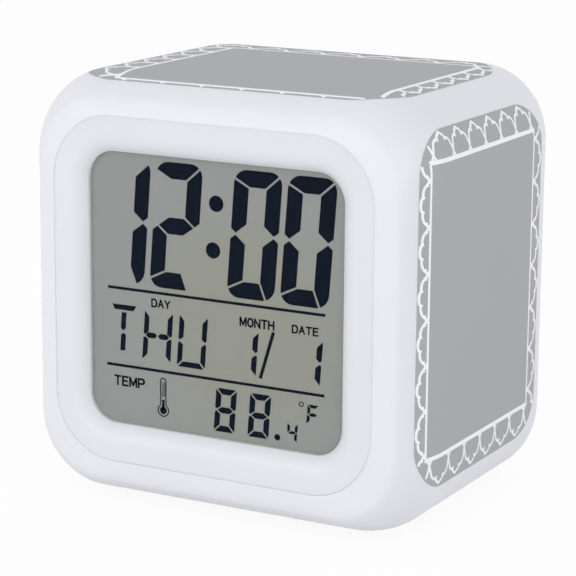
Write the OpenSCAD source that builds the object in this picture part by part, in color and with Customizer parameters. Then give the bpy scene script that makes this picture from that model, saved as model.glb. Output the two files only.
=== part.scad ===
// Cube desk alarm clock, millimetres, +Z up, front towards -Y.
// The origin is on the table under the middle of the whole clock.

/* [Case] */
// Width of the case
case_w = 80; // [78:1:90]
// Height of the case
case_h = 78.4; // [77:0.2:90]
// Depth of the case from front crest to flat back
case_d = 64; // [62:1:80]
// Wall thickness of the case and the rear cover
wall = 2.2; // [2:0.1:2.6]
// Corner radius of the case seen from the front
edge_r = 13; // [12:0.5:14]
// Width of the rounding from the front to the sides, seen from the front
front_round = 7.5; // [7:0.5:8]
// Depth of the rounding from the front to the sides
front_depth = 13; // [11:0.5:14]
// Radius of the rounding from the sides to the back
rear_round = 11; // [10.5:0.5:12]
// Height of the rubber pad below the case
foot = 0.4; // [0.2:0.1:0.8]

/* [Display] */
// Width of the bezel outline in the front
bezel_w = 64.4; // [64:0.2:65]
// Height of the bezel outline in the front
bezel_h = 63.4; // [63:0.2:64]
// Corner radius of the bezel outline
bezel_r = 12; // [11.5:0.5:12.5]
// Width of the dish between the bezel outline and the window
dish_w = 6.6; // [6.4:0.1:7]
// Depth of the window edge behind the front crest
dish_depth = 2.2; // [2:0.1:2.4]
// How far the display centre sits above the middle of the case
display_rise = 0.7; // [0:0.1:0.8]

/* [Panels] */
// Height of a printed side panel
panel_l = 63; // [56:1:63]
// Width of the printed top panel
top_l = 64.4; // [56:0.2:64.4]
// Front-to-back side of a printed panel
panel_d = 48.6; // [44:0.2:49]
// Corner radius of a printed panel
panel_r = 8.5; // [6:0.5:10]
// Thickness of a printed panel
panel_t = 0.6; // [0.4:0.1:0.8]

/* [Controls] */
// Diameter of a button cap
button_d = 5.6; // [5:0.2:5.8]
// Distance between neighbouring buttons
button_pitch = 11; // [10.6:0.2:11]
// Height of a button cap above the back
button_proud = 0.8; // [0.6:0.1:1.2]
// Travel of a button
button_travel = 0.6; // [0.4:0.1:0.7]
// Travel of the light switch from off to on
slider_travel = 2.5; // [2:0.5:3]

/* [Batteries] */
// Diameter of an AAA cell
cell_d = 10.5; // [10.2:0.1:10.5]
// Length of an AAA cell over its nub
cell_len = 44.5; // [43.5:0.5:44.5]
// Distance between neighbouring cells
cell_pitch = 11.2; // [11:0.1:11.4]

/* [Hidden] */
$fn = 64;

// Planes from front to back
yf = -(case_d + button_proud) / 2;
yb = yf + case_d;
mid_z = foot + case_h / 2;
disp_z = mid_z + display_rise;
back_in = yb - wall;
split_y = yb - 6.2;

// Display stack, depths behind the front crest
lip_t = 2.4;
seam_gap = 0.12;
bezel_a = bezel_w / 2 - bezel_r;
bezel_b = bezel_h / 2 - bezel_r;
window_r = bezel_r - dish_w;
lens_front = dish_depth + 0.3;
lens_back = dish_depth + 0.6;
lcd_front = dish_depth + 0.75;
bezel_back = dish_depth + 1.7;
lcd_t = 2.6;
lcd_back = lcd_front + lcd_t;
board_front = bezel_back + 6.1;
board_t = 1.2;
board_y = yf + board_front + board_t;
post_x = 32;
post_z = 16;
post_r = 2.4;
lcd_half = 27.2;
lcd_up = 26.5;
lcd_down = 28;

// Rubber pad under the case
pad_w = 46;
pad_d = 38;
pad_t = foot + 0.6;
pad_y = -3;

// Panel places
panel_y = yf + 28.9;
top_y = yf + 30.1;
panel_rise = 1.8;
panel_gap = 0.1;

// Rear cover, its screws and pillars
screw_x = case_w / 2 - 14.8;
screw_z = case_h / 2 - 14.2;
pillar_r = 3.25;
boss_y0 = 4;
lap_len = 2;
lap_t = 1;
lap_gap = 0.1;

// Battery bay
bay_wall = 2;
door_ledge = 0.9;
floor_t = 1.4;
bay_x = 26;
bay_h = 2 * cell_pitch + cell_d + 0.7;
bay_z = 37.4;
door_t = 1.6;
door_gap = 0.2;
door_y = back_in + 1;
cell_y = door_y - door_t / 2 - 0.3 - cell_d / 2;
bay_floor = cell_y - cell_d / 2 - 0.2;
plate_t = 0.4;
hinge_z = bay_z - bay_h / 2 - door_ledge + door_gap + door_t / 2;
pin_r = 0.55;
pin_len = 1;
pin_fit = 0.05;

// Control strips above and below the battery bay
button_z = 62;
strip_z = 13.6;
board_gap = 7.3;
small_board_y = back_in - board_gap;
button_fit = 0.2;
flange_r = 3.5;
switch_h = 3.5;
plunger_r = 1.65;
slider_x = -10;
buzzer_x = 10;
strip_post_x = 18.5;
small_post_r = 1.8;

BUTTONS = ["mode", "set", "up", "down"];

// Shared shapes

module rounded_rect(w, h, r) {
    square([w - 2 * r, h], center = true);
    square([w, h - 2 * r], center = true);
    for (sx = [-1, 1], sy = [-1, 1])
        translate([sx * (w / 2 - r), sy * (h / 2 - r)])
            circle(r);
}

// A flat outline in X and Z, made solid from y0 back to y1
module slab(y0, y1, z = 0, x = 0) {
    translate([x, y1, z])
        rotate([90, 0, 0])
            linear_extrude(y1 - y0)
                children();
}

// A round bar along Y
module bar(x, z, r, y0, y1) {
    translate([x, y0, z])
        rotate([-90, 0, 0])
            cylinder(r = r, h = y1 - y0);
}

// A box between two opposite corners
module block(low, high) {
    translate(low)
        cube(high - low);
}

// A profile of radius and height carried round a rounded rectangle in the XZ plane
module frame_sweep(a, b) {
    rotate([90, 0, 0])
        for (k = [0:3]) {
            along = k % 2 == 0 ? b : a;
            across = k % 2 == 0 ? a : b;
            rotate([0, 0, 90 * k]) {
                translate([across, along, 0])
                    rotate_extrude(angle = 90)
                        children();
                translate([across, along, 0])
                    rotate([90, 0, 0])
                        linear_extrude(2 * along)
                            children();
            }
        }
}

// The outline of the case at one depth, drawn in by an inset from its widest outline
corner_steps = 8;
CORNERS = [[1, 1], [-1, 1], [-1, -1], [1, -1]];
function case_ring(y, inset, r) = [for (c = [0:3], s = [0:corner_steps])
    let (a = 90 * (c + s / corner_steps))
    [CORNERS[c][0] * (case_w / 2 - inset - r) + r * cos(a), y,
        mid_z + CORNERS[c][1] * (case_h / 2 - inset - r) + r * sin(a)]];

// A closed solid of triangles through rings of points, with a middle point for each end
module loft(rings, first, last) {
    n = len(rings);
    m = len(rings[0]);
    walls = [for (i = [0:n - 2], j = [0:m - 1], half = [0, 1])
        let (k = (j + 1) % m, s = i * m, e = s + m)
        half == 0 ? [s + j, s + k, e + j] : [s + k, e + k, e + j]];
    caps = [for (j = [0:m - 1], end = [0, 1])
        let (k = (j + 1) % m, s = (n - 1) * m)
        end == 0 ? [n * m, k, j] : [n * m + 1, s + j, s + k]];
    polyhedron(concat([for (ring = rings) each ring], [first, last]), concat(walls, caps));
}

// A tube of triangles along a list of points
function unit(v) = v / norm(v);
function heading(p, i) = unit(p[min(i + 1, len(p) - 1)] - p[max(i - 1, 0)]);
function ring_point(p, i, r, a, side) =
    let (t = heading(p, i), n = unit(cross(t, side)), b = cross(n, t))
    p[i] + r * (cos(a) * n + sin(a) * b);

module tube(p, r, sides, side = [0.1, 0.2, 1]) {
    rings = [for (i = [0:len(p) - 1]) [for (j = [0:sides - 1]) ring_point(p, i, r, 360 * j / sides, side)]];
    loft(rings, p[0], p[len(p) - 1]);
}

// A self-tapping screw along Y with its head at the back
module screw(x, z, seat_y, length, shank_r, head_r, head_h) {
    bar(x, z, shank_r, seat_y - length, seat_y);
    difference() {
        bar(x, z, head_r, seat_y, seat_y + head_h);
        for (turn = [0, 90])
            translate([x, seat_y + head_h, z])
                rotate([0, turn, 0])
                    cube([head_r * 1.3, head_h, head_r * 0.3], center = true);
    }
}

// Case and printed panels

// Rings of the front rounding, from the crest back to the widest outline
crest_turn = -1;
rear_turn = 1;
function front_rings(inset, first_y, across, deep, turn, steps) = [for (k = [0:steps])
    let (a = 90 * k / steps, s = 1 - sin(a))
    case_ring(first_y + deep * (1 - cos(a)), inset + across * s, edge_r - inset + turn * s)];

// Rings of the rear rounding, between two angles of its quarter circle
function rear_rings(inset, from, to, steps) = [for (k = [0:steps])
    let (a = from + (to - from) * k / steps, s = 1 - sin(a), r = rear_round - inset)
    case_ring(yb - inset - r * (1 - cos(a)), inset + r * s, edge_r - inset + rear_turn * s)];
function split_angle(inset) = acos(1 - (yb - inset - split_y) / (rear_round - inset));

// The outer form of the case up to the rear cover, drawn in by an inset
module case_block(inset) {
    front = front_rings(inset, yf + inset, front_round - inset, front_depth - inset, crest_turn, 9);
    rear = rear_rings(inset, 90, split_angle(inset), 3);
    loft(concat(front, rear), [0, yf + inset, mid_z], [0, split_y, mid_z]);
}

// The hollow of the case and the rear cover
module case_hollow() {
    front = front_rings(wall, yf + lip_t, 3.5, 8, 0, 5);
    rear = rear_rings(wall, 90, 0, 6);
    loft(concat(front, rear), [0, yf + lip_t, mid_z], [0, back_in, mid_z]);
}

// A prism through the top or a side of the case with the outline of a printed panel
panel_reach = 6;

module panel_prism(long, grow) {
    translate([0, 0, -panel_reach])
        linear_extrude(panel_reach + 1)
            rounded_rect(long + 2 * grow, panel_d + 2 * grow, panel_r + grow);
}

module on_top() {
    translate([0, top_y, mid_z + case_h / 2])
        children();
}

module on_side(way) {
    translate([way * case_w / 2, panel_y, mid_z + panel_rise])
        rotate([0, way * 90, 0])
            children();
}

// A printed panel follows the rounded case, flush with its surface
module panel_skin() {
    color([0.66, 0.66, 0.67])
        difference() {
            intersection() {
                case_block(0);
                children();
            }
            case_block(panel_t);
        }
}

module case_boss(sx, sz) {
    x = sx * screw_x;
    z = mid_z + sz * screw_z;
    difference() {
        union() {
            bar(x, z, pillar_r, boss_y0, split_y - 1);
            block([min(x, sx * (case_w / 2 - wall / 2)), boss_y0, z - 0.8],
                [max(x, sx * (case_w / 2 - wall / 2)), split_y - 3, z + 0.8]);
            block([x - 0.8, boss_y0, min(z, mid_z + sz * (case_h - wall) / 2)],
                [x + 0.8, split_y - 3, max(z, mid_z + sz * (case_h - wall) / 2)]);
        }
        bar(x, z, 1.3, boss_y0 + 2, split_y);
    }
}

module pad_shape(grow, z0) {
    translate([0, pad_y, z0])
        linear_extrude(pad_t - z0)
            rounded_rect(pad_w + 2 * grow, pad_d + 2 * grow, 6 + grow);
}

module case_shell() {
    color([0.92, 0.92, 0.94]) {
        difference() {
            case_block(0);
            case_hollow();
            slab(yf - 1, yf + lip_t + 1, disp_z)
                rounded_rect(bezel_w, bezel_h, bezel_r);
            difference() {
                union() {
                    on_top()
                        panel_prism(top_l, panel_gap);
                    for (way = [-1, 1])
                        on_side(way)
                            panel_prism(panel_l, panel_gap);
                }
                case_block(panel_t);
            }
            pad_shape(panel_gap, 0);
        }
        for (sx = [-1, 1], sz = [-1, 1])
            case_boss(sx, sz);
    }
}

module base_pad() {
    color([0.15, 0.15, 0.16])
        pad_shape(0, 0);
}

module panel_top() {
    panel_skin()
        on_top()
            panel_prism(top_l, 0);
}

module panel_side(way) {
    panel_skin()
        on_side(way)
            panel_prism(panel_l, 0);
}

// Front bezel and display

// The dish falls gently from the bezel outline, then rolls over into the window
dish_slope = 7;
dish_end = 55;
roll_w = 2.6;
roll_r = roll_w / (sin(dish_end) - sin(dish_slope));
roll_drop = roll_r * (cos(dish_slope) - cos(dish_end));
DISH = [for (k = [0:8]) let (a = dish_slope + (dish_end - dish_slope) * k / 8)
    [window_r + roll_w - roll_r * (sin(a) - sin(dish_slope)),
        roll_drop - dish_depth - roll_r * (cos(dish_slope) - cos(a))]];

module bezel_profile() {
    polygon(concat(
        [[bezel_r - seam_gap, -0.12]],
        DISH,
        [[window_r, -lens_front], [window_r + 1.1, -lens_front],
            [window_r + 1.1, -bezel_back], [bezel_r + 0.9, -bezel_back],
            [bezel_r + 0.9, -lip_t - 0.1], [bezel_r - seam_gap, -lip_t - 0.1]]));
}

module front_bezel() {
    color([0.9, 0.9, 0.92]) {
        difference() {
            translate([0, yf, disp_z])
                frame_sweep(bezel_a, bezel_b)
                    bezel_profile();
            block([-lcd_half - 0.2, yf + lcd_front - 0.05, disp_z - lcd_down + 2],
                [lcd_half + 0.2, yf + bezel_back + 1, disp_z + lcd_up + 0.2]);
        }
        difference() {
            for (sx = [-1, 1], sz = [-1, 1])
                bar(sx * post_x, disp_z + sz * post_z, post_r, yf + bezel_back - 0.5, yf + board_front);
            for (sx = [-1, 1], sz = [-1, 1])
                bar(sx * post_x, disp_z + sz * post_z, 1.15, yf + bezel_back + 0.6, yf + board_front + 1);
        }
    }
}

module display_lens() {
    w = 2 * (bezel_a + window_r);
    h = 2 * (bezel_b + window_r);
    color([0.85, 0.9, 0.9, 0.4])
        slab(yf + lens_front, yf + lens_back, disp_z)
            rounded_rect(w + 2, h + 2, window_r + 1);
}

module lcd_gasket() {
    w = 2 * (bezel_a + window_r);
    h = 2 * (bezel_b + window_r);
    color([0.5, 0.5, 0.51])
        slab(yf + lens_back, yf + lcd_front, disp_z)
            difference() {
                rounded_rect(w + 2, h + 2, window_r + 1);
                rounded_rect(w + 1.3, h + 1.3, window_r + 0.65);
            }
}

module lcd_cell() {
    color([0.6, 0.62, 0.59]) {
        block([-lcd_half, yf + lcd_front, disp_z - lcd_down + 2.2],
            [lcd_half, yf + lcd_front + lcd_t / 2, disp_z + lcd_up]);
        block([-lcd_half, yf + lcd_front + lcd_t / 2, disp_z - lcd_down],
            [lcd_half, yf + lcd_back, disp_z + lcd_up]);
    }
}

module lcd_holder() {
    gap = 0.15;
    rim = 1.8;
    color([0.95, 0.95, 0.95])
        difference() {
            block([-lcd_half - gap - rim, yf + bezel_back, disp_z - lcd_down - gap - rim],
                [lcd_half + gap + rim, yf + board_front, disp_z + lcd_up + gap + rim]);
            block([-lcd_half - gap, yf, disp_z - lcd_down - gap],
                [lcd_half + gap, yf + board_front + 1, disp_z + lcd_up + gap]);
        }
}

module light_guide() {
    color([0.9, 0.95, 0.97, 0.6])
        block([-lcd_half + 4, yf + lcd_back + 0.1, disp_z - lcd_down + 3.6],
            [lcd_half, yf + lcd_back + 2.6, disp_z + lcd_up]);
}

module backlight_leds() {
    color([0.95, 0.93, 0.8])
        for (sz = [-1, 1])
            block([-lcd_half + 0.3, yf + lcd_back + 0.4, disp_z + sz * 12 - 2],
                [-lcd_half + 3.8, yf + board_front, disp_z + sz * 12 + 2]);
}

module zebra_strip() {
    color([0.25, 0.25, 0.28])
        block([-lcd_half + 2, yf + lcd_back, disp_z - lcd_down + 0.3],
            [lcd_half - 2, yf + board_front, disp_z - lcd_down + 2.5]);
}

// Main board and what is soldered to it

module main_board() {
    color([0.1, 0.4, 0.22])
        difference() {
            slab(yf + board_front, board_y, disp_z)
                rounded_rect(70, 62, 4);
            for (sx = [-1, 1], sz = [-1, 1])
                bar(sx * post_x, disp_z + sz * post_z, 1.35, yf + board_front - 1, board_y + 1);
        }
}

module chip_blob() {
    dome_r = 8;
    color([0.06, 0.06, 0.06])
        intersection() {
            translate([0, board_y - dome_r + 2.2, disp_z + 4])
                sphere(dome_r);
            bar(0, disp_z + 4, 9, board_y, board_y + 3);
        }
}

module crystal() {
    color([0.8, 0.8, 0.82]) {
        translate([14, board_y + 1.05, disp_z + 8])
            cylinder(r = 1.05, h = 6.2);
        for (sx = [-1, 1])
            block([14 + sx * 0.5 - 0.15, board_y, disp_z + 6.4],
                [14 + sx * 0.5 + 0.15, board_y + 1.2, disp_z + 8]);
    }
}

module thermistor() {
    color([0.15, 0.2, 0.3]) {
        translate([-14, board_y + 3.6, disp_z - 24])
            sphere(1.3);
        for (sx = [-1, 1])
            bar(-14 + sx * 0.7, disp_z - 24, 0.25, board_y, board_y + 3.4);
    }
}

module capacitor() {
    color([0.12, 0.14, 0.3])
        difference() {
            bar(16, disp_z - 8, 2.5, board_y, board_y + 11);
            bar(16, disp_z - 8, 1.9, board_y + 10.8, board_y + 12);
        }
}

module color_leds() {
    color([0.95, 0.95, 0.97, 0.7])
        for (sx = [-1, 1], sz = [-1, 1]) {
            x = sx * 23;
            z = disp_z + sz * 21;
            bar(x, z, 2.9, board_y, board_y + 1);
            bar(x, z, 2.5, board_y + 0.9, board_y + 6);
            translate([x, board_y + 6, z])
                sphere(2.5);
        }
}

module board_screws() {
    color([0.7, 0.7, 0.72])
        for (sx = [-1, 1], sz = [-1, 1])
            screw(sx * post_x, disp_z + sz * post_z, board_y, 6, 1.1, 2.2, 1.6);
}

// Rear cover with the battery bay

function button_x(k) = (k - 1.5) * button_pitch;
function cell_z(k) = bay_z + (k - 1) * cell_pitch;
function cell_way(k) = k == 1 ? -1 : 1;

bay_low = [-bay_x, bay_floor, bay_z - bay_h / 2];
bay_high = [bay_x, back_in, bay_z + bay_h / 2];
bay_skin = [bay_wall, 0, bay_wall];
door_skin = [door_ledge, 0, door_ledge];
tab_w = 4;
tab_z = bay_high[2] + door_ledge + 2;
head_seat = yb - 2.6;
knob_w = 2.2;
knob_h = 1.8;

module rear_shell() {
    difference() {
        loft(rear_rings(0, split_angle(0), 0, 6), [0, split_y, mid_z], [0, yb, mid_z]);
        case_hollow();
    }
    lap_in = wall + (rear_round - wall) * (1 - sin(split_angle(wall))) + lap_gap;
    lap_w = case_w - 2 * lap_in;
    lap_h = case_h - 2 * lap_in;
    lap_r = edge_r - wall;
    slab(split_y - lap_len, split_y + 1.5, mid_z)
        difference() {
            rounded_rect(lap_w, lap_h, lap_r);
            rounded_rect(lap_w - 2 * lap_t, lap_h - 2 * lap_t, lap_r - lap_t);
        }
}

module rear_supports() {
    block(bay_low - bay_skin - [0, floor_t, 0], bay_high + bay_skin + [0, 0.5, 0]);
    for (sx = [-1, 1], sz = [-1, 1])
        bar(sx * screw_x, mid_z + sz * screw_z, pillar_r, split_y - 1, back_in + 0.5);
    for (sx = [-1, 1]) {
        bar(sx * button_pitch, button_z, small_post_r, small_board_y, back_in + 0.5);
        bar(sx * strip_post_x, strip_z, small_post_r, small_board_y, back_in + 0.5);
    }
}

module rear_openings() {
    block(bay_low, bay_high + [0, wall + 1, 0]);
    block([bay_low[0], back_in, bay_low[2]] - door_skin, bay_high + door_skin + [0, wall + 1, 0]);
    block([-tab_w - 0.3, back_in + 0.6, bay_high[2]], [tab_w + 0.3, yb + 1, tab_z + door_gap]);
    for (sx = [-1, 1])
        translate([sx * (bay_x + door_ledge + 0.6), door_y, hinge_z])
            rotate([0, 90, 0])
                cylinder(r = pin_r + pin_fit, h = 1.4, center = true);
    for (k = [0:3])
        bar(button_x(k), button_z, button_d / 2 + button_fit, back_in - 1, yb + 1);
    block([slider_x - (slider_travel + knob_w) / 2 - 0.25, back_in - 1, strip_z - knob_h / 2 - 0.25],
        [slider_x + (slider_travel + knob_w) / 2 + 0.25, yb + 1, strip_z + knob_h / 2 + 0.25]);
    bar(buzzer_x, strip_z, 0.7, back_in - 1, yb + 1);
    for (k = [0:5])
        bar(buzzer_x + 2.6 * cos(60 * k), strip_z + 2.6 * sin(60 * k), 0.7, back_in - 1, yb + 1);
    for (sx = [-1, 1], sz = [-1, 1]) {
        bar(sx * screw_x, mid_z + sz * screw_z, 1.6, split_y - 2, yb);
        bar(sx * screw_x, mid_z + sz * screw_z, 2.5, head_seat, yb + 1);
    }
    for (sx = [-1, 1]) {
        bar(sx * button_pitch, button_z, 0.9, small_board_y - 1, small_board_y + 5);
        bar(sx * strip_post_x, strip_z, 0.9, small_board_y - 1, small_board_y + 5);
    }
    for (way = [-1, 1])
        block([way * (bay_x - 0.3) - 0.3, bay_floor - 2 * floor_t, cell_z(1 + way) - 1.7],
            [way * (bay_x - 0.3) + 0.3, bay_floor + 1, cell_z(1 + way) + 1.7]);
}

module rear_cover() {
    color([0.93, 0.93, 0.95])
        difference() {
            union() {
                rear_shell();
                rear_supports();
            }
            rear_openings();
        }
}

module rear_cover_screws() {
    color([0.7, 0.7, 0.72])
        for (sx = [-1, 1], sz = [-1, 1])
            screw(sx * screw_x, mid_z + sz * screw_z, head_seat, 18, 1.25, 2.3, 1.8);
}

// Key board, buttons, light switch and buzzer

module small_board(half_w, z, half_h, hole_x) {
    difference() {
        block([-half_w, small_board_y - board_t, z - half_h], [half_w, small_board_y, z + half_h]);
        for (sx = [-1, 1])
            bar(sx * hole_x, z, 1, small_board_y - 2, small_board_y + 1);
    }
}

module key_board() {
    color([0.1, 0.4, 0.22])
        small_board(20.6, button_z, 5, button_pitch);
}

module switch_board() {
    color([0.1, 0.4, 0.22])
        small_board(21.5, strip_z, 4.5, strip_post_x);
}

module small_screws() {
    color([0.7, 0.7, 0.72])
        for (sx = [-1, 1], p = [[button_pitch, button_z], [strip_post_x, strip_z]])
            translate([sx * p[0], small_board_y - board_t, p[1]])
                rotate([0, 0, 180])
                    screw(0, 0, 0, 5.5, 0.85, 1.6, 1.2);
}

plunger_base = small_board_y + 2.2;
plunger_tip = small_board_y + 4.6;

module tact_switches() {
    color([0.15, 0.15, 0.16])
        for (k = [0:3])
            difference() {
                block([button_x(k) - 3, small_board_y, button_z - 3],
                    [button_x(k) + 3, small_board_y + switch_h, button_z + 3]);
                bar(button_x(k), button_z, plunger_r + 0.08, plunger_base - button_travel - 0.2,
                    small_board_y + switch_h + 1);
            }
}

module plunger(k) {
    color([0.9, 0.85, 0.7])
        bar(button_x(k), button_z, plunger_r, plunger_base, plunger_tip);
}

module button(k) {
    dimple_r = 14;
    color([0.9, 0.9, 0.92])
        difference() {
            union() {
                bar(button_x(k), button_z, 1.9, plunger_tip, back_in - 1);
                bar(button_x(k), button_z, flange_r, back_in - 1.4, back_in - 0.25);
                bar(button_x(k), button_z, button_d / 2, back_in - 0.5, yb + button_proud);
            }
            translate([button_x(k), yb + button_proud + dimple_r - 0.25, button_z])
                sphere(dimple_r);
        }
}

module switch_box(half_x, y0, y1, half_z) {
    block([slider_x - half_x, small_board_y + y0, strip_z - half_z],
        [slider_x + half_x, small_board_y + y1, strip_z + half_z]);
}

module slide_switch() {
    color([0.75, 0.75, 0.77])
        difference() {
            switch_box(4.6, 0, 4.4, 2.4);
            switch_box(4, 0.8, 3.8, 1.8);
            switch_box((slider_travel + knob_w) / 2 + 0.3, 3, 5, 1.2);
        }
}

// The slider rests at the off end of its slot
module light_slider() {
    x = slider_x - slider_travel / 2;
    color([0.12, 0.12, 0.13]) {
        block([x - 2, small_board_y + 1.1, strip_z - 1.5], [x + 2, small_board_y + 3.5, strip_z + 1.5]);
        block([x - knob_w / 2, small_board_y + 3, strip_z - knob_h / 2],
            [x + knob_w / 2, yb + 0.6, strip_z + knob_h / 2]);
    }
}

module buzzer() {
    color([0.1, 0.1, 0.1])
        difference() {
            bar(buzzer_x, strip_z, 4.5, small_board_y, small_board_y + 6.3);
            bar(buzzer_x, strip_z, 1, small_board_y + 4, small_board_y + 7);
        }
}

// Battery door, cells and contacts

module battery_door() {
    low = [-bay_x - door_ledge + door_gap, door_y - door_t / 2, hinge_z];
    high = [bay_x + door_ledge - door_gap, door_y + door_t / 2, bay_high[2] + door_ledge - door_gap];
    color([0.93, 0.93, 0.95]) {
        difference() {
            union() {
                block(low, high);
                translate([0, door_y, hinge_z])
                    rotate([0, 90, 0])
                        cylinder(r = door_t / 2, h = high[0] - low[0], center = true);
                block([-tab_w, door_y - 0.2, high[2] - 1], [tab_w, high[1], tab_z]);
            }
            for (k = [0:3])
                block([-6 + k * 0.6, high[1] - 0.4, high[2] - 4 - 1.6 * k],
                    [6 - k * 0.6, yb, high[2] - 3.2 - 1.6 * k]);
        }
        translate([0, door_y, hinge_z])
            rotate([0, 90, 0])
                cylinder(r = pin_r, h = high[0] - low[0] + 2 * pin_len, center = true);
    }
}

module cell(k) {
    nub = 1;
    color([0.2, 0.45, 0.3])
        translate([cell_way(k) * (bay_x - plate_t), cell_y, cell_z(k)])
            rotate([0, -90 * cell_way(k), 0]) {
                cylinder(r = 1.9, h = nub + 0.2);
                translate([0, 0, nub])
                    cylinder(d = cell_d, h = cell_len - nub);
            }
}

module battery_plates() {
    half = 4.2;
    color([0.8, 0.8, 0.82])
        for (way = [-1, 1]) {
            face = way * (bay_x - plate_t / 2);
            alone = 1 + way;
            pair = 1 - way;
            block([face - plate_t / 2, cell_y - half, min(cell_z(1), cell_z(pair)) - half],
                [face + plate_t / 2, cell_y + half, max(cell_z(1), cell_z(pair)) + half]);
            block([face - plate_t / 2, cell_y - half, cell_z(alone) - half],
                [face + plate_t / 2, cell_y + half, cell_z(alone) + half]);
            block([face - plate_t / 2, bay_floor - floor_t - 2.5, cell_z(alone) - 1.5],
                [face + plate_t / 2, cell_y - half + 0.5, cell_z(alone) + 1.5]);
        }
}

// A cone-shaped spring presses on the flat end of each cell
spring_turns = 4;
spring_rings = 8;
spring_wire = 0.4;
spring_len = 2 * (bay_x - plate_t) - cell_len;

function spring_path(k) = [for (i = [0:spring_turns * spring_rings])
    let (t = i / (spring_turns * spring_rings), a = 360 * i / spring_rings, r = 3.8 - 1.4 * t)
    [-cell_way(k) * (bay_x - plate_t - spring_wire - 0.05 - (spring_len - 2 * spring_wire - 0.1) * t),
        cell_y + r * cos(a), cell_z(k) + r * sin(a)]];

module battery_springs() {
    color([0.8, 0.8, 0.82])
        for (k = [0:2])
            tube(spring_path(k), spring_wire, 6, [1, 0, 0]);
}

// Leads inside the case

function smooth(p, n) = [for (i = [0:len(p) - 2], s = [0:n - 1])
        let (t = s / n, a = p[max(i - 1, 0)], b = p[i], c = p[i + 1], d = p[min(i + 2, len(p) - 1)])
        b + t * (c - a) / 2 + t * t * (2 * a - 5 * b + 4 * c - d) / 2
            + t * t * t * (3 * b - a - 3 * c + d) / 2];
function closed_route(p) = concat(smooth(p, 3), [p[len(p) - 1]]);

tab_end = bay_floor - floor_t - 2.5;
RED_ROUTE = [[bay_x - 0.2, tab_end, cell_z(2)], [25, 8, 47], [23, 2, 45], [21, -6, 45], [20, -14, 47],
    [20, board_y, 48]];
BLACK_ROUTE = [[0.2 - bay_x, tab_end, cell_z(0)], [-25, 8, 27], [-23, 2, 29], [-21, -6, 30], [-20, -14, 30],
    [-20, board_y, 30]];

module battery_wire_red() {
    color([0.75, 0.1, 0.1])
        tube(closed_route(RED_ROUTE), 0.65, 8);
}

module battery_wire_black() {
    color([0.05, 0.05, 0.05])
        tube(closed_route(BLACK_ROUTE), 0.65, 8);
}

// A flat ribbon that hangs a little between a small board and the main board
module ribbon(z, sag) {
    half_t = 0.35;
    start = small_board_y - board_t;
    line = [for (k = [0:14]) let (t = k / 14) [start + (board_y - start) * t, z - 4 * sag * t * (1 - t)]];
    rotate([90, 0, 90])
        linear_extrude(8, center = true)
            polygon(concat([for (p = line) p + [0, half_t]], [for (k = [14:-1:0]) line[k] - [0, half_t]]));
}

module key_ribbon() {
    color([0.7, 0.7, 0.75])
        ribbon(button_z, 5);
}

module switch_ribbon() {
    color([0.7, 0.7, 0.75])
        ribbon(strip_z, 3);
}

case_shell();
base_pad();
front_bezel();
display_lens();
lcd_gasket();
lcd_cell();
lcd_holder();
light_guide();
backlight_leds();
zebra_strip();
main_board();
chip_blob();
crystal();
thermistor();
capacitor();
color_leds();
board_screws();
panel_top();
panel_side(-1);  // panel_left
panel_side(1);  // panel_right
rear_cover();
rear_cover_screws();
key_board();
tact_switches();
for (k = [0:3]) {
    plunger(k);
    button(k);
}
switch_board();
slide_switch();
light_slider();
buzzer();
small_screws();
battery_door();
for (k = [0:2])
    cell(k);
battery_plates();
battery_springs();
battery_wire_red();
battery_wire_black();
key_ribbon();
switch_ribbon();
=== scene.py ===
import math

import bmesh
import bpy
from mathutils import Matrix, Vector


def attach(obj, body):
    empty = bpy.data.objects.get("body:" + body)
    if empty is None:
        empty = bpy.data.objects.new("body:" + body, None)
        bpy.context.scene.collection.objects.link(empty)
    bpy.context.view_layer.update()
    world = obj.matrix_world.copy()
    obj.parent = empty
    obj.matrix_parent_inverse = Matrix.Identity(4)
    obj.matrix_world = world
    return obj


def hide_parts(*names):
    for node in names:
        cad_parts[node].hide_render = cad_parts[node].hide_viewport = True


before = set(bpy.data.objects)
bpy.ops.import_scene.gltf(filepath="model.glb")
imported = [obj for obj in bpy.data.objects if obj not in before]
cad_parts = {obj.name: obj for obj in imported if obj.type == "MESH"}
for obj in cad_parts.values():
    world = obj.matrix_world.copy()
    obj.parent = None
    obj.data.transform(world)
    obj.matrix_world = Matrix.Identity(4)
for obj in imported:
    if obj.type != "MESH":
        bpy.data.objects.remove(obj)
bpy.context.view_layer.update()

bl_info = {
    "name": "Desk Clock Dresser",
    "version": (1, 0, 0),
    "blender": (4, 5, 0),
    "location": "View3D > Sidebar > Clock",
    "description": "Finishes for a desk alarm clock with a liquid crystal display",
    "category": "Object",
}

MM = 0.001
CORNERS = ((1, 1), (-1, 1), (-1, -1), (1, -1))
# Steps along each round corner of the case and the display frame, and across a film
CORNER_STEPS, FILM_STEPS = 20, 40
# Angles from which edges are crisp, on the drawn pieces and on the solids
DRAWN_CRISP, SOLID_CRISP = math.radians(32), math.radians(28)
# Points of a solid closer than this are joined
JOIN_GAP = 0.000002


def number(name, description, default, **kind):
    """A number that the sidebar shows."""
    return bpy.props.FloatProperty(name=name, description=description, default=default, **kind)


def length(name, description, default):
    """A size in metres."""
    return number(name, description, default, unit="LENGTH", precision=5)


def angle(name, description, degrees):
    """An angle, shown in degrees."""
    return number(name, description, math.radians(degrees), subtype="ANGLE")


def colour(name, description, default):
    """A linear colour."""
    return bpy.props.FloatVectorProperty(
        name=name, description=description, default=default, size=3, min=0.0, max=1.0, subtype="COLOR"
    )


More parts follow.
